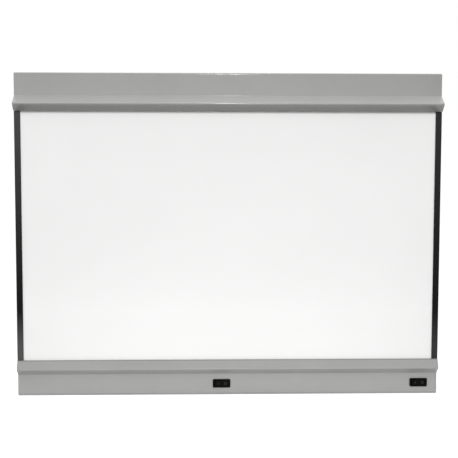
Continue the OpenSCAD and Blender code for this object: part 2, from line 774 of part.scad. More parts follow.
module ballast(side) color([0.85, 0.85, 0.84])
  translate([side * ballast_x, -sheet_t, bottom_z + ballast_up + ballast_h / 2]) difference() {
    case_w = ballast_len - 2 * ballast_foot;
    notch = ballast_d / 4;
    union() {
      block([-case_w / 2, -ballast_d, -ballast_h / 2], [case_w / 2, 0, ballast_h / 2]);
      block([-ballast_len / 2, -sheet_t, -ballast_h / 2], [ballast_len / 2, 0, ballast_h / 2]);
    }
    for (end = [-1, 1]) {
      translate([end * (ballast_len - ballast_foot) / 2, over, 0]) facing_front()
        cylinder(h = sheet_t + 2 * over, r = screw_r + screw_gap);
      translate([end * case_w / 2, -ballast_d, 0])
        cube([4 * notch, 2 * notch, ballast_h - 2 * notch], center = true);
    }
  }

module terminal_places() {
  pole_pitch = block_core_w / pole_count;
  for (i = [0 : pole_count - 1], row = [-1, 1])
    translate([(i - (pole_count - 1) / 2) * pole_pitch, 0, row * block_h / 4]) children();
}

module terminal_block() color([0.9, 0.88, 0.8])
  translate([0, -sheet_t, bottom_z + ballast_up + ballast_h / 2]) difference() {
    union() {
      block([-block_core_w / 2, -block_d, -block_h / 2], [block_core_w / 2, 0, block_h / 2]);
      block([-block_w / 2, -holder_foot_t, -block_h / 2], [block_w / 2, 0, block_h / 2]);
    }
    terminal_places() translate([0, -block_d / 2, 0]) facing_front()
      cylinder(h = block_d / 2 + over, r = screw_r + screw_gap);
    for (side = [-1, 1]) translate([side * block_stud_pitch / 2, over, 0]) facing_front()
      cylinder(h = holder_foot_t + 2 * over, r = screw_r + screw_gap);
  }

module terminal_screws() color([0.8, 0.68, 0.35])
  translate([0, -sheet_t, bottom_z + ballast_up + ballast_h / 2])
    terminal_places() translate([0, -block_d / 2, 0]) facing_front() difference() {
      cylinder(h = block_d / 4, r = screw_r);
      translate([-head_r, -gap, block_d / 4 - over]) cube([2 * head_r, 2 * gap, 2 * over]);
    }

module blades(extra) {
  // The two live blades and the earth blade between them
  for (place = [[-blade_pitch, -blade_offset], [blade_pitch, -blade_offset], [0, blade_offset]])
    translate([place.x - blade_t / 2 - extra, place.y - blade_w / 2 - extra, blade_in])
      cube([blade_t + 2 * extra, blade_w + 2 * extra, inlet_len + blade_tail - blade_in]);
}

module mains_inlet() color([0.06, 0.06, 0.06]) at_inlet() difference() {
  ear_w = inlet_screw_pitch + 2 * inlet_ear;
  union() {
    linear_extrude(inlet_len) rounded_rect(inlet_w, inlet_h, bend_r);
    translate([0, 0, sheet_t]) linear_extrude(inlet_flange_t)
      rounded_rect(ear_w, inlet_h + 2 * gap, bend_r);
  }
  translate([0, 0, -over]) linear_extrude(socket_depth + over)
    rounded_rect(inlet_w - 2 * inlet_wall, inlet_h - 2 * inlet_wall, bend_r - inlet_wall / 2);
  blades(blade_fit);
  at_inlet_screws() translate([0, 0, -over])
    cylinder(h = inlet_flange_t + sheet_t + 2 * over, r = screw_r + screw_gap);
  at_inlet_screws() screw_hole();
}

module inlet_blades() color([0.8, 0.78, 0.72]) at_inlet() blades(0);

module inlet_screws() color([0.75, 0.75, 0.72]) at_inlet() at_inlet_screws() {
  screw();
  translate([0, 0, sheet_t + inlet_flange_t]) nut();
}

module cover_screws() color([0.75, 0.75, 0.75]) {
  at_top_screws() screw();
  at_bottom_screws() screw();
}

module side_screws() color([0.1, 0.1, 0.1]) for (side = [-1, 1]) at_side_screws(side) screw();

// Wiring: straight runs with a small knuckle at each turn
module run(a, b, r) {
  d = b - a;
  translate(a) rotate([0, acos(d.z / norm(d)), atan2(d.y, d.x)]) cylinder(h = norm(d), r = r);
}

module wire(points, r) {
  for (i = [0 : len(points) - 2]) run(points[i], points[i + 1], r);
  for (i = [1 : len(points) - 2]) translate(points[i]) sphere(r * knuckle);
}

bundle_y = -(sheet_t + gap / 2 + bundle_r * knuckle);
bundle_z = (bottom_z + ballast_up + ballast_h - holder_z - holder_t - holder_foot_len) / 2;
ballast_top_z = bottom_z + ballast_up + ballast_h;
block_top_z = bottom_z + ballast_up + (ballast_h + block_h) / 2;
inlet_top_z = bottom_z + inlet_len + blade_tail;
tab_back_y = -(body_d - switch_d - tab_len);
tab_bundle_z = switch_z + tab_dz;

module mains_wiring() color([0.2, 0.2, 0.2]) {
  block_y = -(sheet_t + block_d / 2);
  block_step = block_w / 6;
  wire([[inlet_x, -inlet_d, inlet_top_z], [inlet_x, -inlet_d, bundle_z], [inlet_x, bundle_y, bundle_z],
        [-2 * block_step, bundle_y, bundle_z], [-2 * block_step, block_y, bundle_z],
        [-2 * block_step, block_y, block_top_z]], bundle_r);
  middle_x = centre_switch_x + tab_dx;
  tabs_y = tab_back_y + bundle_r;
  wire([[middle_x, block_y, block_top_z], [middle_x, block_y, bundle_z],
        [middle_x, tabs_y, bundle_z], [middle_x, tabs_y, tab_bundle_z]], bundle_r);
  wire([[2 * block_step, block_y, block_top_z], [2 * block_step, block_y, bundle_z],
        [2 * block_step, bundle_y, bundle_z], [right_switch_x - 6 * tab_dx, bundle_y, bundle_z],
        [right_switch_x - 6 * tab_dx, tabs_y, bundle_z], [right_switch_x - tab_dx, tabs_y, bundle_z],
        [right_switch_x - tab_dx, tabs_y, tab_bundle_z]], bundle_r);
}

module lamp_wiring(side) color([0.9, 0.9, 0.88]) mirror([side < 0 ? 1 : 0, 0, 0]) {
  face_z = holder_z + holder_t;
  inner_x = lamp_xs[2] + holder_r / 2;
  outer_x = lamp_xs[3] - holder_r / 2;
  end_x = ballast_x + ballast_len / 2 - ballast_foot;
  side_x = viewer_w / 2 - lead_run_side;
  top_run_z = top_z - lead_run_top;
  low_run_z = ballast_top_z - ballast_h / 5;
  turn_x = end_x - 2 * bundle_r;
  wire([[inner_x, -lead_d, ballast_top_z], [inner_x, -lead_d, -face_z]], lead_r);
  wire([[turn_x, -lead_d, ballast_top_z], [turn_x, -lead_d, bundle_z], [outer_x, -lead_d, bundle_z],
        [outer_x, -lead_d, -face_z]], lead_r);
  wire([[end_x, -lead_run_d, low_run_z], [side_x, -lead_run_d, low_run_z], [side_x, -lead_run_d, top_run_z],
        [inner_x, -lead_run_d, top_run_z], [inner_x, -lead_run_d, face_z]], bundle_r);
  run([outer_x, -lead_run_d, top_run_z], [outer_x, -lead_run_d, face_z], lead_r);
}

// A saddle glued to the pan round a bundle that runs along Z at the given distance from the wall
module clip(run_d) {
  half = bundle_r + clip_wall;
  difference() {
    block([-half, -(run_d + half), -clip_w / 2], [half, -sheet_t, clip_w / 2]);
    translate([0, -run_d, 0]) cylinder(h = clip_w + over, r = bundle_r + pin_gap, center = true);
  }
}

module cable_clips() color([0.93, 0.93, 0.93]) for (side = [-1, 1]) {
  for (up = [-1, 0, 1])
    translate([side * (viewer_w / 2 - lead_run_side), 0, up * lamp_len * reflector_stud_share])
      clip(lead_run_d);
  translate([side * lamp_mid, 0, top_z - lead_run_top]) rotate([0, 90, 0]) clip(lead_run_d);
  translate([side * ballast_x, 0, bundle_z]) rotate([0, 90, 0]) clip(-bundle_y);
}

back_pan();
top_cover();
bottom_cover();
side_panel(-1);  // left_side_panel
side_panel(1);  // right_side_panel
screen();
screen_cushion();
reflector(-1);  // left_reflector
reflector(1);  // right_reflector
centre_divider();
grip_rail();
for (i = [1 : len(roller_xs)]) film_roller(i - 1);
for (i = [1 : len(lamp_xs)]) {
  lamp_tube(i - 1);
  lamp_caps(i - 1);
  lampholder(i - 1, true);
  lampholder(i - 1, false);
}
lamp_pins();
ballast(-1);  // left_ballast
ballast(1);  // right_ballast
terminal_block();
terminal_screws();
mains_inlet();
inlet_blades();
inlet_screws();
switch_body(centre_switch_x);  // centre_switch_body
switch_body(right_switch_x);  // right_switch_body
rocker(centre_switch_x);  // centre_rocker
rocker(right_switch_x);  // right_rocker
switch_tabs();
cover_screws();
side_screws();
pan_nuts();
rail_nuts();
mains_wiring();
lamp_wiring(-1);  // left_lamp_wiring
lamp_wiring(1);  // right_lamp_wiring
cable_clips();
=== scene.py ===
import json
import math

import bmesh
import bpy
from mathutils import Matrix, Vector


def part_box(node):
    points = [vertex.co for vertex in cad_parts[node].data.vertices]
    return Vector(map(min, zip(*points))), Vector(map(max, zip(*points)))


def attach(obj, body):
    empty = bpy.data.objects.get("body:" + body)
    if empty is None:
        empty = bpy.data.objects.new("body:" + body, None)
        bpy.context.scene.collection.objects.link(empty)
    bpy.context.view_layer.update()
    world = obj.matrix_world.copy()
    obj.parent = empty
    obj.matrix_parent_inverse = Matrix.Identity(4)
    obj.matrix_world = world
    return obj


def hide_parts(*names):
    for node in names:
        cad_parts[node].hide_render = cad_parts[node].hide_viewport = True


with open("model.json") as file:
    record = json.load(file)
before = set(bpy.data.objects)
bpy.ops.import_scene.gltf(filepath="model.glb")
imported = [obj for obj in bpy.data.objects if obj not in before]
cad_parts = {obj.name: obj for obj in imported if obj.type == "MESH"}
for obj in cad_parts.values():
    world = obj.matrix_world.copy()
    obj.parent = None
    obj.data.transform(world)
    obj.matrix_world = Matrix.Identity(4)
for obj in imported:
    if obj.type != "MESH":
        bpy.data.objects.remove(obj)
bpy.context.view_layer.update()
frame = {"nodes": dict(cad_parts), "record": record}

MM = 0.001

# ---------------------------------------------------------------- camera
LOOK_AT = Vector((0.0, -93.0, 12.4)) * MM
CAMERA_DISTANCE = 2.0
CAMERA_AZIMUTH = math.radians(-1.95)
CAMERA_ELEVATION = math.radians(5.26)
CAMERA_ROLL = math.radians(0.12)
CAMERA_LENS = 90.0
SENSOR_WIDTH = 36.0


def aim(obj, target):
    obj.rotation_euler = (target - obj.location).to_track_quat("-Z", "Y").to_euler()


def make_camera():
    data = bpy.data.cameras.new("camera")
    data.lens = CAMERA_LENS
    data.sensor_width = SENSOR_WIDTH
    data.sensor_fit = "HORIZONTAL"
    camera = bpy.data.objects.new("camera", data)
    flat = math.cos(CAMERA_ELEVATION)
    toward = Vector((math.sin(CAMERA_AZIMUTH) * flat, -math.cos(CAMERA_AZIMUTH) * flat,
                     math.sin(CAMERA_ELEVATION)))
    camera.location = LOOK_AT + toward * CAMERA_DISTANCE
    aim(camera, LOOK_AT)
    camera.rotation_euler.rotate_axis("Z", CAMERA_ROLL)
    bpy.context.scene.collection.objects.link(camera)
    bpy.context.scene.camera = camera


# ---------------------------------------------------------------- shader nodes
class Nodes:
    """The node tree of a material or a world, with short helpers."""

    def __init__(self, owner):
        owner.use_nodes = True
        self.tree = owner.node_tree
        self.tree.nodes.clear()

    def add(self, kind, **values):
        node = self.tree.nodes.new(kind)
        for key, value in values.items():
            setattr(node, key, value)
        return node

    def link(self, source, target):
        self.tree.links.new(source, target)

    def mix(self, factor, first, second, blend="MIX"):
        node = self.add("ShaderNodeMix", data_type="RGBA", blend_type=blend)
        for socket, value in ((0, factor), (6, first), (7, second)):
            if isinstance(value, float):
                node.inputs[socket].default_value = value
            elif isinstance(value, tuple):
                node.inputs[socket].default_value = (*value, 1)
            else:
                self.link(value, node.inputs[socket])
        return node.outputs[2]

    def remap(self, value, low, high, to_low=0.0, to_high=1.0):
        """Turns the range from low to high into another one, held at its ends."""
        node = self.add("ShaderNodeMapRange")
        for socket, level in (("From Min", low), ("From Max", high),
                              ("To Min", to_low), ("To Max", to_high)):
            node.inputs[socket].default_value = level
        self.link(value, node.inputs["Value"])
        return node.outputs[0]

    def seen_directly(self):
        """One for camera, glossy and transmission rays, zero for the rest."""
        path = self.add("ShaderNodeLightPath")
        seen = path.outputs["Is Camera Ray"]
        for ray in ("Is Glossy Ray", "Is Transmission Ray"):
            both = self.add("ShaderNodeMath", operation="MAXIMUM")
            self.link(seen, both.inputs[0])
            self.link(path.outputs[ray], both.inputs[1])
            seen = both.outputs[0]
        return seen


class Shader(Nodes):
    """A material on the principled shader, with the procedural textures that the finishes share."""

    def __init__(self, name):
        self.name = name
        self.material = bpy.data.materials.new(name)
        super().__init__(self.material)
        self.bsdf = self.add("ShaderNodeBsdfPrincipled")
        output = self.add("ShaderNodeOutputMaterial")
        self.link(self.bsdf.outputs[0], output.inputs[0])
        self.place = self.add("ShaderNodeTexCoord").outputs["Object"]

    def set(self, **values):
        for key, value in values.items():
            self.bsdf.inputs[key.replace("_", " ")].default_value = value

    def drive(self, socket, value):
        self.link(value, self.bsdf.inputs[socket])

    def noise(self, scale, detail, roughness, stretch=None):
        """Noise over the piece, with the scale in bumps to the metre; stretch scales each axis."""
        node = self.add("ShaderNodeTexNoise")
        node.inputs["Scale"].default_value = scale
        node.inputs["Detail"].default_value = detail
        node.inputs["Roughness"].default_value = roughness
        place = self.place
        if stretch:
            mapping = self.add("ShaderNodeMapping")
            mapping.inputs["Scale"].default_value = stretch
            self.link(place, mapping.inputs["Vector"])
            place = mapping.outputs[0]
        self.link(place, node.inputs["Vector"])
        return node.outputs["Fac"]

    def ramp(self, value, *stops):
        """Maps a value through (position, grey or colour) stops."""
        node = self.add("ShaderNodeValToRGB")
        elements = node.color_ramp.elements
        while len(elements) < len(stops):
            elements.new(0.5)
        for element, (position, colour) in zip(elements, stops):
            element.position = position
            element.color = (*(colour if isinstance(colour, tuple) else (colour,) * 3), 1)
        self.link(value, node.inputs[0])
        return node.outputs[0]

    def along(self, axis, low, high):
        """The point's place along an axis, as a value from 0 at low to 1 at high."""
        split = self.add("ShaderNodeSeparateXYZ")
        self.link(self.place, split.inputs[0])
        return self.remap(split.outputs[axis], low, high)

    def tint(self, tone):
        """Multiplies the base colour given before."""
        socket = self.bsdf.inputs["Base Color"]
        self.link(self.mix(1.0, socket.links[0].from_socket, tone, "MULTIPLY"), socket)

    def bump(self, value, strength, distance):
        """Adds a relief on top of those given before."""
        node = self.add("ShaderNodeBump")
        node.inputs["Strength"].default_value = strength
        node.inputs["Distance"].default_value = distance
        self.link(value, node.inputs["Height"])
        socket = self.bsdf.inputs["Normal"]
        if socket.links:
            self.link(socket.links[0].from_socket, node.inputs["Normal"])
        self.link(node.outputs[0], socket)


def shades(colour, low, high=1.0):
    """A darker and a lighter shade of a colour."""
    return tuple(c * low for c in colour), tuple(c * high for c in colour)


# ---------------------------------------------------------------- finishes
X_AXIS, Z_AXIS = 0, 2
BASE_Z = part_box("bottom_cover")[0].z
LEDGE_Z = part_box("bottom_cover")[1].z
SLOT_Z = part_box("top_cover")[0].z
FOLD_Z = SLOT_Z + 27 * MM

# Painted light, shade and reflection, as (place, tone) stops between two heights or two sides of
# the viewer
# A painted shadow line along the film ledge, where the screen meets the bottom cover
LEDGE_EDGE = 1.6 * MM
LEDGE_SHADOW_TONES = ((0.0, 1.0), (0.25, 0.65), (0.75, 0.65), (1.0, 1.0))
# Painted shade on the lower slope, which faces down, painted light on the upper slope, which faces
# up, most in its fold; the flat band above a little darker
BELOW_SLOT = 3 * MM
COVER_LIGHT_AND_SHADE_TONES = ((0.0, 1.0), (0.08, 0.85), (0.3, 0.85), (0.46, 1.1), (0.77, 1.1),
               (0.93, 1.14), (0.985, 1.14), (1.0, 0.94))
# Painted shade along the bend at the lower edge of the bottom cover
LOWER_EDGE = 4 * MM
LOWER_EDGE_SHADE_TONES = ((0.0, 0.88), (0.6, 0.88), (1.0, 1.0))
# Painted shade towards the film ledge and painted light under the top cover's overhang
SCREEN_LIGHT_AND_SHADE_TONES = ((0.0, 0.89), (0.2, 0.97), (0.85, 0.985), (1.0, 1.02))
# Painted reflection on the black side panels: lighter towards both ends, and lighter on the left
# panel than on the right
PANEL_SHEEN_GREYS = ((0.0, 0.075), (0.08, 0.068), (0.2, 0.001),
               (0.45, 0.010), (0.75, 0.026), (1.0, 0.052))
MIDDLE_WIDTH = 0.1
PANEL_SIDE_SHEEN_TONES = ((0.0, 1.0), (1.0, 0.38))


def painted(name, colour, roughness, spread=0.03, peel=0.25, coat=0.0):
    """Paint on sheet: faint cloudiness, orange peel, fine dust and dull patches."""
    s = Shader(name)
    low, high = shades(colour, 1 - spread, 1 + spread)
    clouds = s.ramp(s.noise(9, 4, 0.6), (0.35, low), (0.65, high))
    specks = s.ramp(s.noise(900, 2, 0.5), (0.66, 0.0), (0.74, 0.5))
    dust = tuple(c * 0.8 for c in colour)
    s.drive("Base Color", s.mix(specks, clouds, dust))
    s.drive("Roughness", s.ramp(s.noise(14, 5, 0.65),
                                (0.35, roughness * 0.9), (0.7, roughness * 1.15)))
    s.bump(s.noise(520, 2, 0.5), peel, 0.06 * MM)
    s.set(Specular_IOR_Level=0.35, Coat_Weight=coat, Coat_Roughness=0.15)
    return s


def plastic(name, colour, roughness, grain=900, depth=0.2, gloss=0.5):
    """Moulded plastic with a fine spark-eroded grain and slightly uneven gloss."""
    s = Shader(name)
    low, high = shades(colour, 0.94, 1.06)
    s.drive("Base Color", s.ramp(s.noise(40, 4, 0.6), (0.35, low), (0.65, high)))
    s.drive("Roughness", s.ramp(s.noise(60, 5, 0.7),
                                (0.3, roughness * 0.85), (0.7, roughness * 1.2)))
    s.bump(s.noise(grain, 3, 0.6), depth, 0.08 * MM)
    s.set(Specular_IOR_Level=gloss)
    return s


def metal(name, colour, roughness, stretch=(1, 1, 1), spangle=0.0):
    """Bare or plated metal with drawing lines along one axis, and zinc spangles where asked."""
    s = Shader(name)
    s.set(Metallic=1.0)
    low, high = shades(colour, 0.88)
    tone = s.ramp(s.noise(70, 4, 0.6, stretch), (0.3, low), (0.7, high))
    if spangle:
        cells = s.add("ShaderNodeTexVoronoi")
        cells.inputs["Scale"].default_value = 110
        s.link(s.place, cells.inputs["Vector"])
        facets = s.ramp(cells.outputs["Color"], (0.2, 1 - spangle), (0.8, 1.0))
        tone = s.mix(1.0, tone, facets, "MULTIPLY")
    s.drive("Base Color", tone)
    s.drive("Roughness", s.ramp(s.noise(120, 4, 0.7, stretch),
                                (0.3, roughness * 0.8), (0.7, roughness * 1.25)))
    s.bump(s.noise(600, 2, 0.5, stretch), 0.15, 0.05 * MM)
    return s


def opal(name):
    """The opal acrylic screen: white all through, satin, with painted shade towards the film ledge
    and painted light under the top cover.
    """
    s = Shader(name)
    s.drive("Base Color", s.ramp(s.noise(5, 3, 0.5),
                                 (0.3, (0.94, 0.94, 0.935)), (0.7, (0.96, 0.96, 0.955))))
    s.tint(s.ramp(s.along(Z_AXIS, LEDGE_Z, SLOT_Z), *SCREEN_LIGHT_AND_SHADE_TONES))
    s.drive("Roughness", s.ramp(s.noise(30, 5, 0.7, (1, 1, 0.2)), (0.3, 0.32), (0.7, 0.46)))
    s.bump(s.noise(260, 2, 0.5), 0.06, 0.06 * MM)
    s.set(Specular_IOR_Level=0.45)
    return s


def gloss_black(name):
    """Black stove enamel with a clear gloss, and a painted reflection that makes it lighter towards
    both ends and on the left side.
    """
    s = Shader(name)
    s.drive("Base Color", s.ramp(s.along(Z_AXIS, LEDGE_Z, SLOT_Z), *PANEL_SHEEN_GREYS))
    s.tint(s.ramp(s.noise(25, 5, 0.7), (0.35, 0.85), (0.75, 1.15)))
    s.tint(s.ramp(s.along(X_AXIS, -MIDDLE_WIDTH, MIDDLE_WIDTH), *PANEL_SIDE_SHEEN_TONES))
    s.drive("Roughness", s.ramp(s.noise(18, 4, 0.6), (0.3, 0.14), (0.7, 0.24)))
    s.bump(s.noise(420, 2, 0.5), 0.12, 0.05 * MM)
    s.set(Specular_IOR_Level=0.12)
    return s


def rubber(name):
    """Dull black rubber with a fine grain."""
    s = Shader(name)
    s.drive("Base Color", s.ramp(s.noise(180, 5, 0.7),
                                 (0.3, (0.018, 0.018, 0.018)), (0.7, (0.032, 0.032, 0.033))))
    s.set(Roughness=0.75)
    s.bump(s.noise(1500, 2, 0.6), 0.3, 0.1 * MM)
    return s


def glass_tube(name):
    """A lamp's glass with its white phosphor coat inside, uneven in places."""
    s = Shader(name)
    s.drive("Base Color", s.ramp(s.noise(12, 3, 0.5),
                                 (0.3, (0.86, 0.87, 0.86)), (0.7, (0.93, 0.93, 0.92))))
    s.set(Roughness=0.08, Coat_Weight=0.6, Coat_Roughness=0.03)
    s.bump(s.noise(60, 2, 0.4), 0.03, 0.1 * MM)
    return s


def sleeve(name, colour):
    """Wire insulation: smooth soft plastic with a faint lay of the strands below."""
    s = Shader(name)
    low, high = shades(colour, 0.85)
    s.drive("Base Color", s.ramp(s.noise(90, 4, 0.6), (0.3, low), (0.7, high)))
    s.set(Roughness=0.42)
    s.bump(s.noise(700, 2, 0.5), 0.25, 0.1 * MM)
    return s


def silver_covers(name):
    """The silver-grey paint of both covers, with painted light and shade at each height."""
    s = painted(name, (0.281, 0.281, 0.276), 0.5, peel=0.08, coat=1.0)
    s.tint(s.ramp(s.along(Z_AXIS, LEDGE_Z - LEDGE_EDGE, LEDGE_Z + LEDGE_EDGE), *LEDGE_SHADOW_TONES))
    s.tint(s.ramp(s.along(Z_AXIS, SLOT_Z - BELOW_SLOT, FOLD_Z), *COVER_LIGHT_AND_SHADE_TONES))
    s.tint(s.ramp(s.along(Z_AXIS, BASE_Z, BASE_Z + LOWER_EDGE), *LOWER_EDGE_SHADE_TONES))
    return s


def make_materials():
    """One finish for each material slot of the record, and the grey of the switch marks."""
    made = (
        silver_covers("cover_paint"),
        painted("pan_paint", (0.47, 0.47, 0.46), 0.42, 0.05),
        gloss_black("side_black"),
        opal("opal_screen"),
        rubber("rubber"),
        painted("white_paint", (0.84, 0.84, 0.82), 0.3, 0.02),
        metal("rail_metal", (0.62, 0.62, 0.6), 0.35, spangle=0.25),
        painted("ballast_case", (0.72, 0.72, 0.7), 0.35, 0.03),
        plastic("terminal_plastic", (0.74, 0.7, 0.58), 0.45),
        metal("brass", (0.78, 0.58, 0.26), 0.28),
        plastic("switch_black", (0.0035, 0.0035, 0.0038), 0.34, 1400, 0.3, gloss=0.05),
        plastic("rocker_black", (0.003, 0.003, 0.0032), 0.24, 1400, 0.15, gloss=0.04),
        metal("plated", (0.66, 0.65, 0.6), 0.25),
        metal("zinc", (0.6, 0.58, 0.5), 0.32, spangle=0.15),
        painted("black_screw", (0.02, 0.02, 0.021), 0.35, 0.1),
        sleeve("wire_sleeve_dark", (0.045, 0.045, 0.05)),
        sleeve("wire_sleeve_white", (0.78, 0.78, 0.75)),
        plastic("clip_nylon", (0.8, 0.8, 0.76), 0.4),
        glass_tube("lamp_glass"),
        metal("cap_metal", (0.7, 0.7, 0.7), 0.3, (1, 1, 0.1)),
        plastic("holder_plastic", (0.8, 0.8, 0.78), 0.35),
        metal("roller_metal", (0.5, 0.5, 0.51), 0.3, (0.1, 1, 1)),
        plastic("mark_grey", (0.037, 0.037, 0.037), 0.5, gloss=0.15),
    )
    return {shader.name: shader.material for shader in made}


# ---------------------------------------------------------------- pieces
WELD = 0.002 * MM
FLAT_ANGLE = math.radians(0.4)
SHARP_ANGLE = math.radians(32)
SCREW_SHARP_ANGLE = math.radians(25)


def mesh_from(bm, name):
    """Turns a bmesh into a mesh and frees it."""
    mesh = bpy.data.meshes.new(name)
    bm.to_mesh(mesh)
    bm.free()
    return mesh


def link_object(name, mesh, material, body, replaced=()):
    piece = bpy.data.objects.new(name, mesh)
    mesh.materials.clear()
    mesh.materials.append(material)
    bpy.context.scene.collection.objects.link(piece)
    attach(piece, body)
    if replaced:
        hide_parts(*replaced)
    return piece


def welded(node):
    """A bmesh of a node's mesh with its doubled vertices joined."""
    bm = bmesh.new()
    bm.from_mesh(frame["nodes"][node].data)
    bmesh.ops.remove_doubles(bm, verts=bm.verts, dist=WELD)
    return bm


def cleaned(node):
    """A copy of a node's mesh with its flat faces whole again."""
    bm = welded(node)
    bmesh.ops.dissolve_limit(bm, angle_limit=FLAT_ANGLE, verts=bm.verts, edges=bm.edges)
    bmesh.ops.recalc_face_normals(bm, faces=bm.faces)
    return mesh_from(bm, node)


def soften(piece, width, segments, sharp_angle=SHARP_ANGLE):
    """Rounds the sharp edges of a piece a little and shades its bends smooth."""
    for polygon in piece.data.polygons:
        polygon.use_smooth = True
    piece.data.set_sharp_from_angle(angle=sharp_angle)
    if width:
        bevel = piece.modifiers.new("edges", "BEVEL")
        bevel.width = width
        bevel.segments = segments
        bevel.limit_method = "ANGLE"
        bevel.angle_limit = sharp_angle
        bevel.use_clamp_overlap = True
        bevel.miter_outer = "MITER_ARC"
        bevel.harden_normals = False
    normals = piece.modifiers.new("normals", "WEIGHTED_NORMAL")
    normals.keep_sharp = True


def home(node):
    """The body that a node belongs to, and its material slot."""
    bodies = frame["record"]["behaviour"]["bodies"]
    body = next(name for name, members in bodies.items() if node in members)
    return body, frame["nodes"][node].data.materials[0].name


def refined(node, materials, width, segments):
    """A piece on the node's own shape, with rounded edges and smooth bends."""
    body, slot = home(node)
    piece = link_object(node + "_body", cleaned(node), materials[slot], body, (node,))
    soften(piece, width, segments)


def band(bm, first, second):
    """Faces between two rings of as many vertices."""
    for i in range(len(first)):
        j = (i + 1) % len(first)
        bm.faces.new((first[i], first[j], second[j], second[i]))


# ---------------------------------------------------------------- switch marks
ROCKER_X = {"centre_rocker": -12.5 * MM, "right_rocker": 338.0 * MM}
ROCKER_PIN_Y = -87.0 * MM
ROCKER_TILT = math.radians(9)
ROCKER_RISE = 3.4 * MM
MARK_OUT = 6.6 * MM
MARK_HEIGHT = 4.6 * MM
BAR_WIDTH = 0.85 * MM
RING_LINE = 0.75 * MM
RING_HOLE = MARK_HEIGHT - 2 * RING_LINE
MARK_SUNK = 0.06 * MM
MARK_PROUD = 0.05 * MM
OVAL_STEPS = 12


def oval(width, height):
    """A bar with round ends, or a circle where both sizes are the same, as points."""
    r = width / 2
    points = []
    for start, middle in ((0, height / 2 - r), (math.pi, r - height / 2)):
        for i in range(OVAL_STEPS + 1):
            angle = start + math.pi * i / OVAL_STEPS
            points.append((r * math.cos(angle), middle + r * math.sin(angle)))
    return points


def mark_mesh(outline, hole, origin, across, up, out):
    """A flat mark from an outline, with or without a hole of as many points."""
    bm = bmesh.new()

    def ring(points, height):
        return [bm.verts.new(origin + across * x + up * y + out * height) for x, y in points]

    bottom, top = ring(outline, -MARK_SUNK), ring(outline, MARK_PROUD)
    band(bm, bottom, top)
    if hole:
        hole_bottom, hole_top = ring(hole, -MARK_SUNK), ring(hole, MARK_PROUD)
        band(bm, hole_top, hole_bottom)
        band(bm, top, hole_top)
        band(bm, hole_bottom, bottom)
    else:
        bm.faces.new(top)
        bm.faces.new(list(reversed(bottom)))
    bmesh.ops.recalc_face_normals(bm, faces=bm.faces)
    return mesh_from(bm, "mark")


def switch_marks(rocker, materials):
    """A bar on the left half of the rocker and a ring on the right half, printed in dull grey."""
    low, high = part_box(rocker)
    pin = Vector((ROCKER_X[rocker], ROCKER_PIN_Y, (low.z + high.z) / 2))
    turn = Matrix.Rotation(ROCKER_TILT, 3, "Z")
    up = Vector((0, 0, 1))
    shapes = (("bar", -1, oval(BAR_WIDTH, MARK_HEIGHT), None),
              ("ring", 1, oval(MARK_HEIGHT, MARK_HEIGHT), oval(RING_HOLE, RING_HOLE)))
    for mark, side, outline, hole in shapes:
        along = Vector((side * math.cos(ROCKER_TILT), -math.sin(ROCKER_TILT), 0))
        out = Vector((-side * math.sin(ROCKER_TILT), -math.cos(ROCKER_TILT), 0))
        origin = pin + turn @ (Vector((0, -ROCKER_RISE, 0)) + along * MARK_OUT)
        mesh = mark_mesh(outline, hole, origin, turn @ along * side, up, turn @ out)
        link_object(rocker + "_" + mark, mesh, materials["mark_grey"], rocker)


# ---------------------------------------------------------------- screws
SCREW_NODES = ("cover_screws", "side_screws")
HEAD_RADIUS = 3.8 * MM
HEAD_HEIGHT = 2.1 * MM
HEAD_EDGE = 0.15 * MM
HEAD_EDGE_HEIGHT = 0.12 * MM
SHANK_RADIUS = 2.0 * MM
TIP_SHARE = 0.7
SCREW_LENGTH = 10.0 * MM
RECESS_REACH = 1.9 * MM
RECESS_WIDTH = 0.75 * MM
RECESS_DEPTH = 1.3 * MM
RECESS_FLOOR_SHARE = 0.45
THREAD_PITCH = 0.7 * MM
THREAD_DEPTH = 0.28 * MM
ROUND_STEPS = 32
LARGEST_SPIN = 0.9
SPIN_SCATTER = 1000


def lathe(profile):
    """A closed turned bmesh from radius and height points, along +Z."""
    bm = bmesh.new()
    rings = []
    for radius, height in profile:
        angles = [2 * math.pi * i / ROUND_STEPS for i in range(ROUND_STEPS)]
        rings.append([bm.verts.new((radius * math.cos(a), radius * math.sin(a), height))
                      for a in angles])
    for first, second in zip(rings, rings[1:]):
        band(bm, first, second)
    bm.faces.new(list(reversed(rings[0])))
    bm.faces.new(rings[-1])
    return bm


def solid_screw():
    """A countersunk screw with thread ridges, its head's flat face at the origin, along +Z."""
    profile = [(HEAD_RADIUS - HEAD_EDGE, 0), (HEAD_RADIUS, HEAD_EDGE_HEIGHT),
               (SHANK_RADIUS, HEAD_HEIGHT)]
    height = HEAD_HEIGHT + THREAD_PITCH / 2
    while height + THREAD_PITCH < SCREW_LENGTH:
        profile += [(SHANK_RADIUS, height),
                    (SHANK_RADIUS - THREAD_DEPTH, height + THREAD_PITCH / 2)]
        height += THREAD_PITCH
    profile += [(SHANK_RADIUS, height), (SHANK_RADIUS * TIP_SHARE, SCREW_LENGTH)]
    bm = lathe(profile)
    bmesh.ops.recalc_face_normals(bm, faces=bm.faces)
    return mesh_from(bm, "screw")


def recess_cutter():
    """The cross that is cut out of the head, narrower at its floor."""
    half = RECESS_WIDTH / 2
    outline = []
    for i in range(4):
        turn = Matrix.Rotation(math.pi / 2 * i, 3, "Z")
        for x, y in ((RECESS_REACH, -half), (RECESS_REACH, half), (half, half)):
            outline.append(turn @ Vector((x, y, 0)))
    bm = bmesh.new()
    share = RECESS_FLOOR_SHARE
    top = [bm.verts.new((p.x, p.y, -MM)) for p in outline]
    low = [bm.verts.new((p.x * share, p.y * share, RECESS_DEPTH)) for p in outline]
    bm.faces.new(top)
    bm.faces.new(list(reversed(low)))
    band(bm, top, low)
    bmesh.ops.recalc_face_normals(bm, faces=bm.faces)
    return mesh_from(bm, "recess")


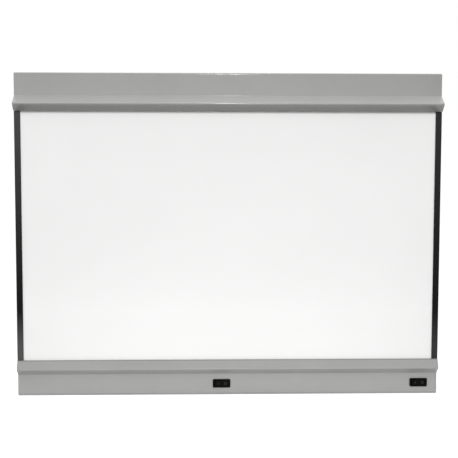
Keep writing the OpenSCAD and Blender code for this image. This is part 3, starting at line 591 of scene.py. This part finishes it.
def screw_mesh():
    """The screw with its cross recess cut."""
    body = bpy.data.objects.new("screw", solid_screw())
    tool = bpy.data.objects.new("recess", recess_cutter())
    scene = bpy.context.scene.collection
    scene.objects.link(body)
    scene.objects.link(tool)
    cut = body.modifiers.new("recess", "BOOLEAN")
    cut.operation = "DIFFERENCE"
    cut.solver = "EXACT"
    cut.object = tool
    shown = body.evaluated_get(bpy.context.evaluated_depsgraph_get())
    result = bpy.data.meshes.new_from_object(shown)
    bpy.data.objects.remove(body)
    bpy.data.objects.remove(tool)
    return result


def islands(node):
    """The lowest and highest corner of each separate solid of a node."""
    bm = welded(node)
    left, found = set(bm.verts), []
    while left:
        stack, group = [left.pop()], []
        while stack:
            vert = stack.pop()
            group.append(vert.co.copy())
            for edge in vert.link_edges:
                other = edge.other_vert(vert)
                if other in left:
                    left.remove(other)
                    stack.append(other)
        found.append((Vector(map(min, zip(*group))), Vector(map(max, zip(*group)))))
    bm.free()
    return sorted(found, key=lambda box: tuple(round(v, 5) for v in box[0]))


def cross_screws(node, shape, materials):
    """Puts a cross-recess screw in the place of each solid of a screw node, its head outwards."""
    body, slot = home(node)
    bm = bmesh.new()
    for low, high in islands(node):
        size, middle = high - low, (low + high) / 2
        axis = max(range(3), key=lambda i: size[i])
        side = 1 if middle[axis] > 0 else -1
        inward = Vector((0, 0, 0))
        inward[axis] = -side
        head = middle.copy()
        head[axis] = high[axis] if side > 0 else low[axis]
        turn = inward.to_track_quat("Z", "Y").to_matrix().to_4x4()
        angle = LARGEST_SPIN * math.sin(SPIN_SCATTER * (head.x + 2 * head.z))
        copy = shape.copy()
        copy.transform(Matrix.Translation(head) @ turn @ Matrix.Rotation(angle, 4, "Z"))
        bm.from_mesh(copy)
        bpy.data.meshes.remove(copy)
    piece = link_object(node + "_cross", mesh_from(bm, node), materials[slot], body, (node,))
    soften(piece, 0, 0, SCREW_SHARP_ANGLE)


# ---------------------------------------------------------------- dressing of every node
# Bevel width in millimetres and number of bevel segments
REFINED = {
    "top_cover": (0.25, 2), "bottom_cover": (0.25, 2), "back_pan": (0.25, 2),
    "grip_rail": (0.2, 1), "left_side_panel": (0.35, 3), "right_side_panel": (0.35, 3),
    "screen": (0.3, 2), "screen_cushion": (0.3, 2),
    "centre_switch_body": (0.45, 3), "right_switch_body": (0.45, 3),
    "centre_rocker": (0.5, 4), "right_rocker": (0.5, 4), "mains_inlet": (0.35, 2),
    "left_ballast": (0.4, 2), "right_ballast": (0.4, 2), "terminal_block": (0.3, 2),
    "left_reflector": (0.15, 1), "right_reflector": (0.15, 1), "inlet_blades": (0.3, 2),
}
for lamp in range(1, 5):
    REFINED["top_lampholder_%d" % lamp] = REFINED["bottom_lampholder_%d" % lamp] = (0.5, 2)
    REFINED["lamp_caps_%d" % lamp] = (0.4, 2)
for roller in range(1, 9):
    REFINED["film_roller_%d" % roller] = (0.25, 2)


def dress(materials):
    for node, (width, segments) in REFINED.items():
        refined(node, materials, width * MM, segments)
    shape = screw_mesh()
    for node in SCREW_NODES:
        cross_screws(node, shape, materials)
    bpy.data.meshes.remove(shape)
    for rocker in ROCKER_X:
        switch_marks(rocker, materials)
    for node, obj in frame["nodes"].items():
        if node not in REFINED and node not in SCREW_NODES:
            obj.material_slots[0].material = materials[obj.data.materials[0].name]


# ---------------------------------------------------------------- floor and world
FLOOR_Z = -283.2 * MM
FLOOR_HALF = 30.0
# The floor fades from pale to dim between these distances, which count half along X
FLOOR_NEAR = 0.2
FLOOR_FAR = 0.38
FLOOR_SQUEEZE = 0.5
FLOOR_PALE = (0.95, 0.95, 0.95)
FLOOR_DIM = (0.06, 0.06, 0.06)
FLOOR_LIFT = 0.5
WORLD_LEVEL = 0.76
SEEN_LEVEL = 1.0


def floor_shader():
    """A pale matt floor, white where it is seen, that gives light back only close to the object."""
    material = bpy.data.materials.new("floor")
    s = Nodes(material)
    squeeze = s.add("ShaderNodeMapping")
    squeeze.inputs["Scale"].default_value = (FLOOR_SQUEEZE, 1, 0)
    s.link(s.add("ShaderNodeTexCoord").outputs["Object"], squeeze.inputs["Vector"])
    distance = s.add("ShaderNodeVectorMath", operation="LENGTH")
    s.link(squeeze.outputs[0], distance.inputs[0])
    far = s.remap(distance.outputs["Value"], FLOOR_NEAR, FLOOR_FAR)
    diffuse = s.add("ShaderNodeBsdfDiffuse")
    s.link(s.mix(far, FLOOR_PALE, FLOOR_DIM), diffuse.inputs["Color"])
    strength = s.add("ShaderNodeMath", operation="MULTIPLY")
    s.link(s.seen_directly(), strength.inputs[0])
    s.link(s.remap(far, 0.0, 1.0, FLOOR_LIFT, SEEN_LEVEL), strength.inputs[1])
    glow = s.add("ShaderNodeEmission")
    s.link(strength.outputs[0], glow.inputs["Strength"])
    both = s.add("ShaderNodeAddShader")
    s.link(diffuse.outputs[0], both.inputs[0])
    s.link(glow.outputs[0], both.inputs[1])
    s.link(both.outputs[0], s.add("ShaderNodeOutputMaterial").inputs[0])
    return material


def make_floor():
    bm = bmesh.new()
    bm.faces.new([bm.verts.new((x * FLOOR_HALF, y * FLOOR_HALF, FLOOR_Z))
                  for x, y in ((-1, -1), (1, -1), (1, 1), (-1, 1))])
    floor = bpy.data.objects.new("floor", mesh_from(bm, "floor"))
    floor.data.materials.append(floor_shader())
    bpy.context.scene.collection.objects.link(floor)


def make_world():
    """Even soft light from all round, and white where the world is seen."""
    world = bpy.data.worlds.new("world")
    s = Nodes(world)
    choose = s.add("ShaderNodeMixShader")
    s.link(s.seen_directly(), choose.inputs[0])
    for socket, level in ((1, WORLD_LEVEL), (2, SEEN_LEVEL)):
        background = s.add("ShaderNodeBackground")
        background.inputs["Color"].default_value = (1, 1, 1, 1)
        background.inputs["Strength"].default_value = level
        s.link(background.outputs[0], choose.inputs[socket])
    s.link(choose.outputs[0], s.add("ShaderNodeOutputWorld").inputs[0])
    bpy.context.scene.world = world


# ---------------------------------------------------------------- lamps
MIDDLE = Vector((0, -0.09, 0))
TOP_BENDS = Vector((0, -0.11, 0.26))
GLINT_POWER = 0.037
GLINT_SPREAD = math.radians(40)
LAMPS = (
    # name, place and target in metres, width, height, power in watts
    ("key", (-0.15, -3.2, 1.9), MIDDLE, 2.2, 1.4, 54.0),
    ("front", (-0.1, -3.4, 0.3), MIDDLE, 2.4, 1.0, 12.0),
    ("over", (0.1, -0.05, 2.0), MIDDLE, 1.2, 0.25, 17.0),
    ("glint_left", (-0.007, -0.6, 0.574), TOP_BENDS, 0.02, 0.35, GLINT_POWER),
    ("glint_right", (0.037, -0.6, 0.574), TOP_BENDS, 0.02, 0.35, GLINT_POWER),
)
MATT_LAMPS = ("key", "over")
GLOSS_LAMPS = ("glint_left", "glint_right")


def make_lamps():
    """Soft lamps, two of them not mirrored by gloss, and two narrow ones that only gloss shows."""
    for name, place, target, width, height, power in LAMPS:
        data = bpy.data.lights.new(name, "AREA")
        data.shape = "RECTANGLE"
        data.size, data.size_y = width, height
        data.energy = power
        lamp = bpy.data.objects.new(name, data)
        lamp.location = place
        lamp.visible_glossy = name not in MATT_LAMPS
        lamp.visible_diffuse = name not in GLOSS_LAMPS
        if name in GLOSS_LAMPS:
            data.spread = GLINT_SPREAD
        aim(lamp, target)
        bpy.context.scene.collection.objects.link(lamp)


# ---------------------------------------------------------------- scene
bpy.context.scene.view_settings.view_transform = "Standard"
make_camera()
dress(make_materials())
make_floor()
make_world()
make_lamps()
